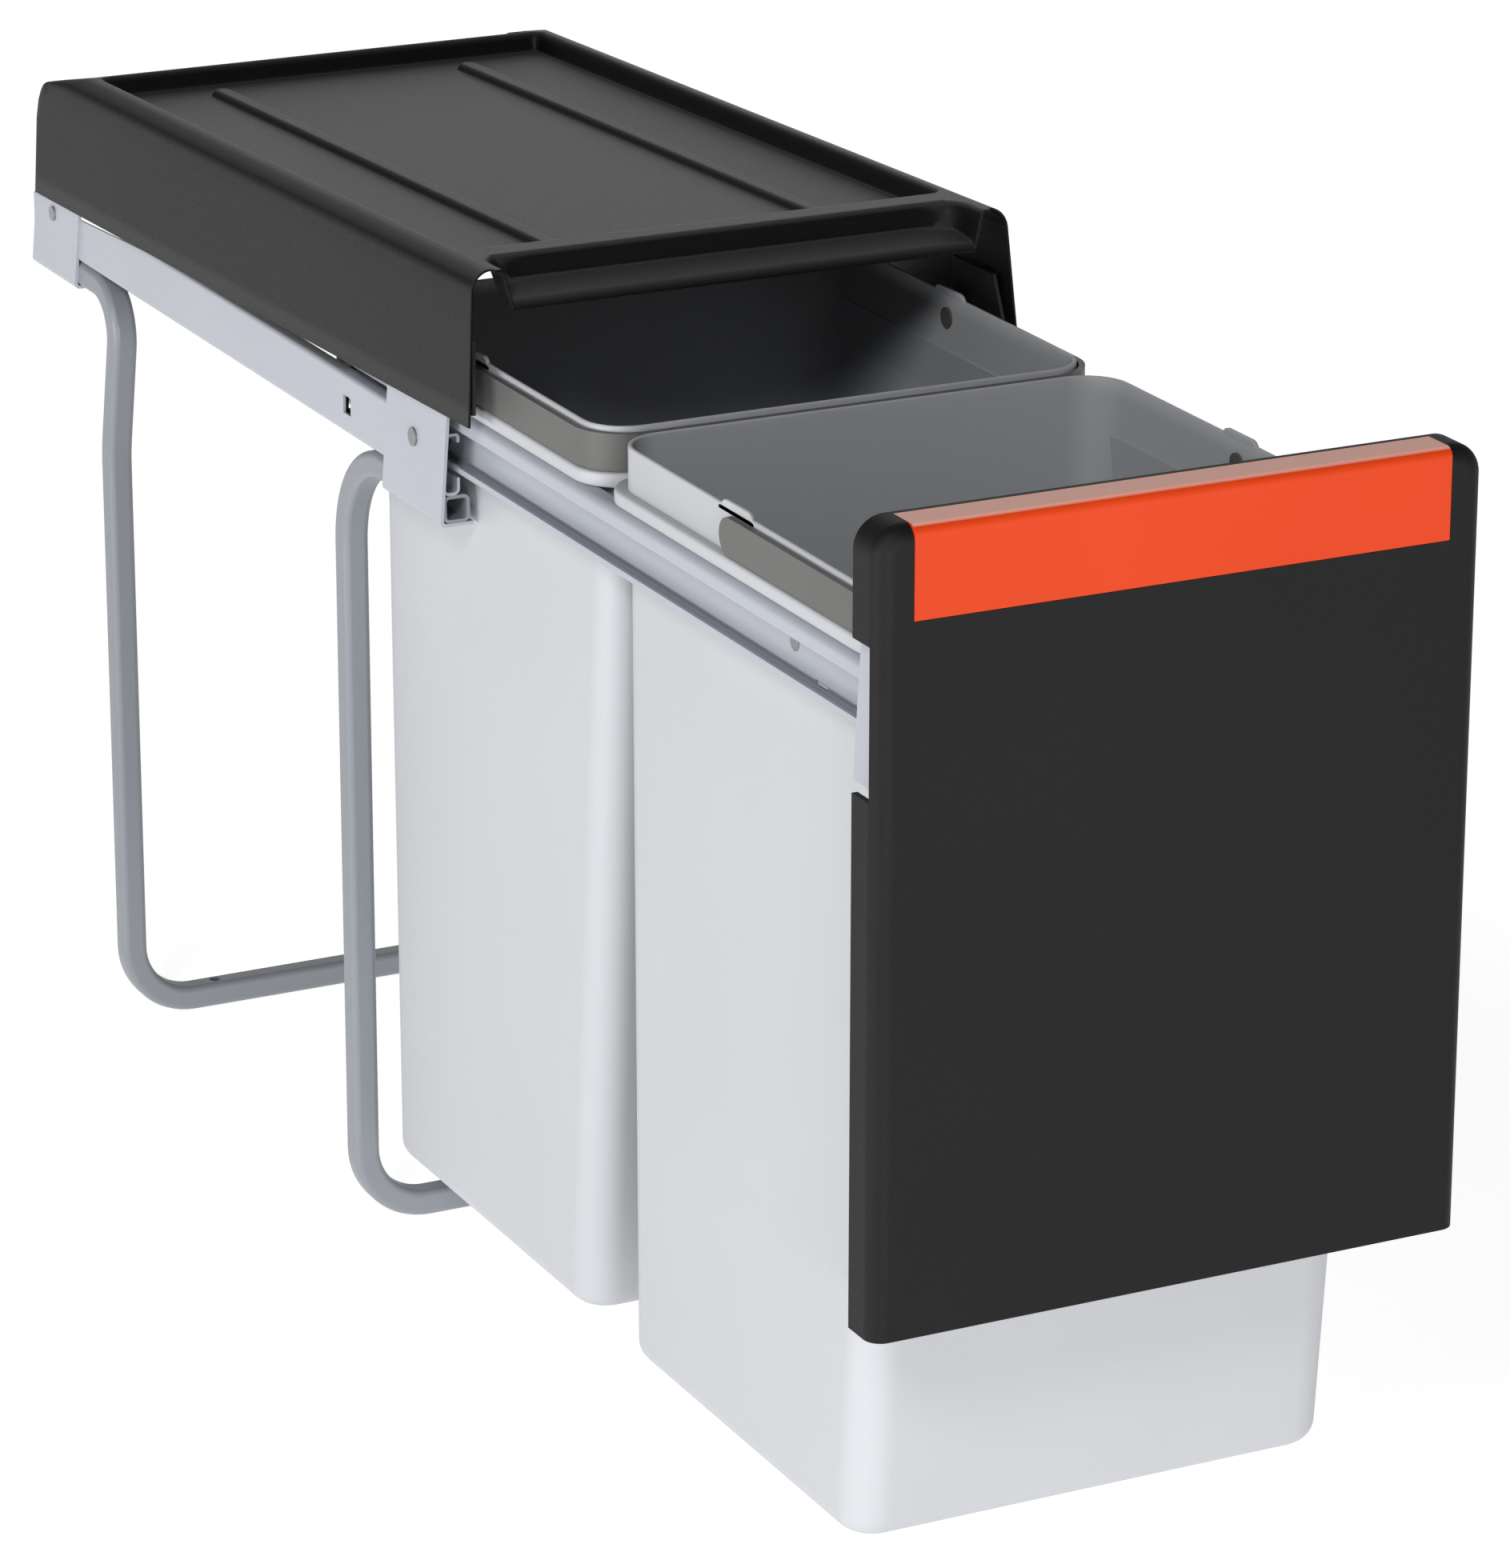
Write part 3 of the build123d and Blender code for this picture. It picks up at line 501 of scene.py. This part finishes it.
def pressed_cover():
    """Sheet cover with its pressed tray, ribs, shelf and cut-back tail."""
    low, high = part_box("cover")
    gauge = 1 * mm
    length = 502 * mm
    rear_top = 454.2 * mm
    wall = 61 * mm
    fold_r = 8 * mm
    tilt = radians(2)
    foot_tilt = radians(1.72)
    flare = tan(radians(4))
    front_lean = 3 * mm
    lean_power = 8
    smooth_angle = 60
    tail = 50 * mm
    tail_drop = 10 * mm
    tail_corner = 12 * mm
    tray_edge = 1 * mm
    side_rim = 9 * mm
    front_rim = 39 * mm
    front_bead = 13 * mm
    tray_depth = 8.5 * mm
    tray_corner = 7 * mm
    tray_slope = 4.5 * mm
    rib_place = 62 * mm
    rib_start = tail + 30 * mm
    rib_half = 5 * mm
    rib_slope = 2.4 * mm
    rib_height = 3 * mm
    shelf_half = 111 * mm
    shelf_corner = 14 * mm
    shelf_slope = 5 * mm
    shelf_drop = 9.5 * mm
    shelf_fall = 3.5 * mm
    past_front = 60 * mm
    lip = 2 * mm
    lip_bend = 1.5 * mm
    lip_drop = 3.5 * mm
    rear = low[1] + length
    foot = rear_top - wall
    foot_half = high[0]
    rim_half = foot_half - wall * flare
    slant = length / cos(tilt)
    tray_half = rim_half - side_rim
    tray_end = slant - front_rim
    shelf_start = tray_end + front_bead
    lip_start = slant - lip

    def place(u, v, w):
        """Point from its distance right, along the slope from the rear, and above the foot."""
        return Vector((u, rear - v * cos(tilt) + w * sin(tilt), foot + v * sin(tilt) + w * cos(tilt)))

    def pressing(u, v):
        """Depth of the top below its plane."""
        in_tray = inside_round(u, v, tray_half, tail + tray_edge, tray_end, tray_corner)
        sunk = smooth_step(in_tray / tray_slope)
        depth = tray_depth * sunk
        for rib in (-rib_place, rib_place):
            from_rib = hypot(u - rib, max(rib_start - v, 0))
            depth -= rib_height * smooth_step((rib_half - from_rib) / rib_slope) * sunk
        on_shelf = inside_round(u, v, shelf_half, shelf_start, slant + past_front, shelf_corner)
        fall = shelf_drop + shelf_fall * smooth_step((v - shelf_start) / (lip_start - shelf_start))
        turned = lip_drop * max((v - lip_start + lip_bend) / (lip + lip_bend), 0) ** 2
        return max(depth, 0) + (fall + turned) * smooth_step(on_shelf / shelf_slope)

    def side_points(v, side, top):
        """Wall and fold from the foot up, ending at the height top or at the rim."""
        wall_steps = 6
        fold_steps = 8
        base = -v * tan(tilt - foot_tilt)
        points = []
        for step in range(wall_steps + 1):
            w = base + (wall - fold_r - base) * step / wall_steps
            points.append((side * (foot_half - w * flare), min(w, top)))
        for step in range(1, fold_steps + 1):
            turn = step / fold_steps * pi / 2
            w = wall - fold_r + fold_r * sin(turn)
            u = foot_half - w * flare - fold_r * (1 - cos(turn))
            points.append((side * u, min(w, top)))
        return points

    def top_rows():
        """Rows across the whole cover, from the tail to the front edge, closer on its bends."""
        fine = 0.9 * mm
        rib_pitch = 0.8 * mm
        shelf_pitch = 2 * mm
        lip_pitch = 0.4 * mm
        corner_pitch = 4 * mm
        outer_pitch = 7 * mm
        middle_pitch = 8 * mm
        tray_pitch = 9 * mm
        fold_gap = 0.1 * mm
        rib_clear = 6 * mm
        side_bends = 8 * mm
        rear_bends = tail + 12 * mm
        flat_before_rib = tail + 20 * mm
        rib_begins = tail + 34 * mm
        front_bends = tray_end - 10 * mm
        shelf_bends = shelf_start + 12 * mm
        edge = rim_half - fold_r - fold_gap
        tray_flat = tray_half - side_bends
        near_rib = rib_place - rib_clear
        past_rib = rib_place + rib_clear
        across_places = spaced(
            -edge,
            (-tray_flat, fine),
            (-past_rib, outer_pitch),
            (-near_rib, rib_pitch),
            (near_rib, middle_pitch),
            (past_rib, rib_pitch),
            (tray_flat, outer_pitch),
            (edge, fine),
        )
        along_places = spaced(
            tail,
            (rear_bends, fine),
            (flat_before_rib, corner_pitch),
            (rib_begins, fine),
            (front_bends, tray_pitch),
            (shelf_bends, fine),
            (lip_start - shelf_pitch, shelf_pitch),
            (slant, lip_pitch),
        )
        for v in along_places:
            lean = front_lean * ((v - tail) / (slant - tail)) ** lean_power / wall
            left = [place(u, v - lean * w, w) for u, w in side_points(v, -1, wall)]
            top = [place(u, v, wall - pressing(u, v)) for u in across_places]
            right = [place(u, v - lean * w, w) for u, w in side_points(v, 1, wall)]
            yield left + top + right[::-1]

    def tail_rows(side):
        """Rows of a wall behind the top, cut down towards the rear."""
        tail_steps = 24
        for step in range(tail_steps + 1):
            v = tail * step / tail_steps
            drop = tail_drop * (1 - v / tail)
            if v < tail_corner:
                drop += tail_corner - (tail_corner**2 - (tail_corner - v) ** 2) ** 0.5
            row = [place(u, v, w) for u, w in side_points(v, side, wall - drop)]
            yield row if side < 0 else row[::-1]

    grids = [list(top_rows()), list(tail_rows(-1)), list(tail_rows(1))]
    cover = grid_sheet("cover_pressing", grids, cover_paint, gauge, smooth_angle)
    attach(cover, "frame")
    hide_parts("cover")


pressed_cover()


# Studio


def studio_floor():
    """Pale floor that runs well past the object."""
    reach = 30
    below = 0.5 * mm
    material, *_, shader = new_material("studio_floor")
    shader.inputs["Base Color"].default_value = (0.6, 0.6, 0.6, 1)
    shader.inputs["Roughness"].default_value = 0.9
    shader.inputs["Specular IOR Level"].default_value = 0
    shader.inputs["Emission Color"].default_value = (1, 1, 1, 1)
    shader.inputs["Emission Strength"].default_value = 0.8
    mesh = bpy.data.meshes.new("studio_floor")
    corners = [(-reach, -reach, 0), (reach, -reach, 0), (reach, reach, 0), (-reach, reach, 0)]
    mesh.from_pydata(corners, [], [(0, 1, 2, 3)])
    mesh.materials.append(material)
    floor = bpy.data.objects.new("studio_floor", mesh)
    floor.location.z = -below
    bpy.context.collection.objects.link(floor)


def studio_air():
    """Even pale light from all round."""
    scene = bpy.context.scene
    scene.world = scene.world or bpy.data.worlds.new("studio")
    scene.world.use_nodes = True
    background = scene.world.node_tree.nodes["Background"]
    background.inputs["Color"].default_value = (1, 1, 1, 1)
    background.inputs["Strength"].default_value = 0.16
    scene.view_settings.view_transform = "Standard"
    scene.view_settings.look = "None"


def soft_light(name, place, width, height, power):
    """Rectangular area light aimed at the object's middle."""
    data = bpy.data.lights.new(name, "AREA")
    data.shape = "RECTANGLE"
    data.size = width
    data.size_y = height
    data.energy = power
    light = bpy.data.objects.new(name, data)
    light.location = place
    aim = Vector(object_middle) - Vector(place)
    light.rotation_euler = aim.to_track_quat("-Z", "Y").to_euler()
    bpy.context.collection.objects.link(light)


object_middle = (0, -0.25, 0.25)
low_light_height = 0.32
studio_floor()
studio_air()
soft_light("left", (-4.2, -1.0, low_light_height), 2.6, 0.5, 108)
soft_light("front", (-0.6, -4.6, low_light_height), 2.6, 0.5, 100)
soft_light("above", (-2.2, -2.6, 2.6), 0.9, 0.9, 55)
soft_light("back", (1.9, 3.3, 1.9), 3.0, 3.0, 22)


# Camera at the photograph's view


def photo_camera():
    """Camera with the photograph's place, aim and lens."""
    photo_width = 1887
    photo_height = 1960
    focal_pixels = 8261.1
    centre_x = 1005.6
    centre_y = 910.8
    place = (-1.1685, -2.6545, 1.1584)
    heading = radians(-26.81)
    look_down = radians(18.80)
    roll = radians(0.218)
    far_limit = 100
    data = bpy.data.cameras.new("camera")
    data.sensor_width = 36
    data.lens = focal_pixels / photo_height * data.sensor_width
    data.shift_x = (photo_width / 2 - centre_x) / photo_height
    data.shift_y = (centre_y - photo_height / 2) / photo_height
    data.clip_end = far_limit
    camera = bpy.data.objects.new("camera", data)
    turn = Matrix.Rotation(heading, 4, "Z")
    tilt = Matrix.Rotation(pi / 2 - look_down, 4, "X")
    camera.matrix_world = Matrix.Translation(place) @ turn @ tilt @ Matrix.Rotation(roll, 4, "Z")
    bpy.context.collection.objects.link(camera)
    bpy.context.scene.camera = camera


photo_camera()
